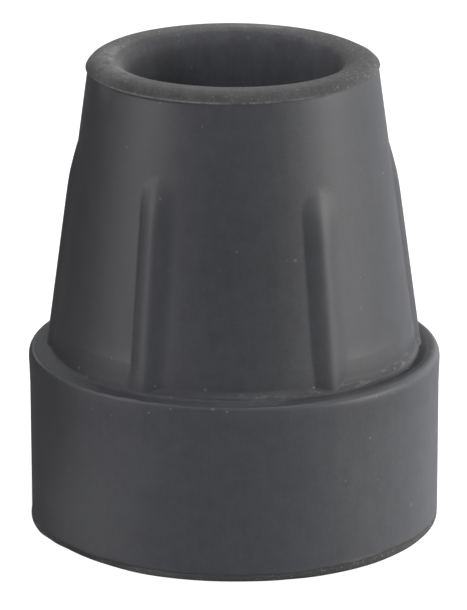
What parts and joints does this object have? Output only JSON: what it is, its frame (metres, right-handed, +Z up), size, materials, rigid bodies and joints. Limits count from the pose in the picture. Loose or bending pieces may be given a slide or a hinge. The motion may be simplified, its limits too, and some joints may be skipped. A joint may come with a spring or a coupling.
{
  "type": "rubber cane tip",
  "caption": "Dark grey rubber cane tip: a heavy round base with a ringed tread, a tapered ribbed neck and a blind socket that pushes onto the end of a round shaft.",
  "frame": {"origin": "centre of the tread, on the ground", "axes": "+Z up along the socket and out of its mouth, +X through the middle of one rib"},
  "size_m": [0.038, 0.038, 0.044],
  "materials": {
    "rubber": "matt moulded rubber"
  },
  "bodies": {
    "root": {"cane_tip": "rubber"}
  },
  "joints": []
}
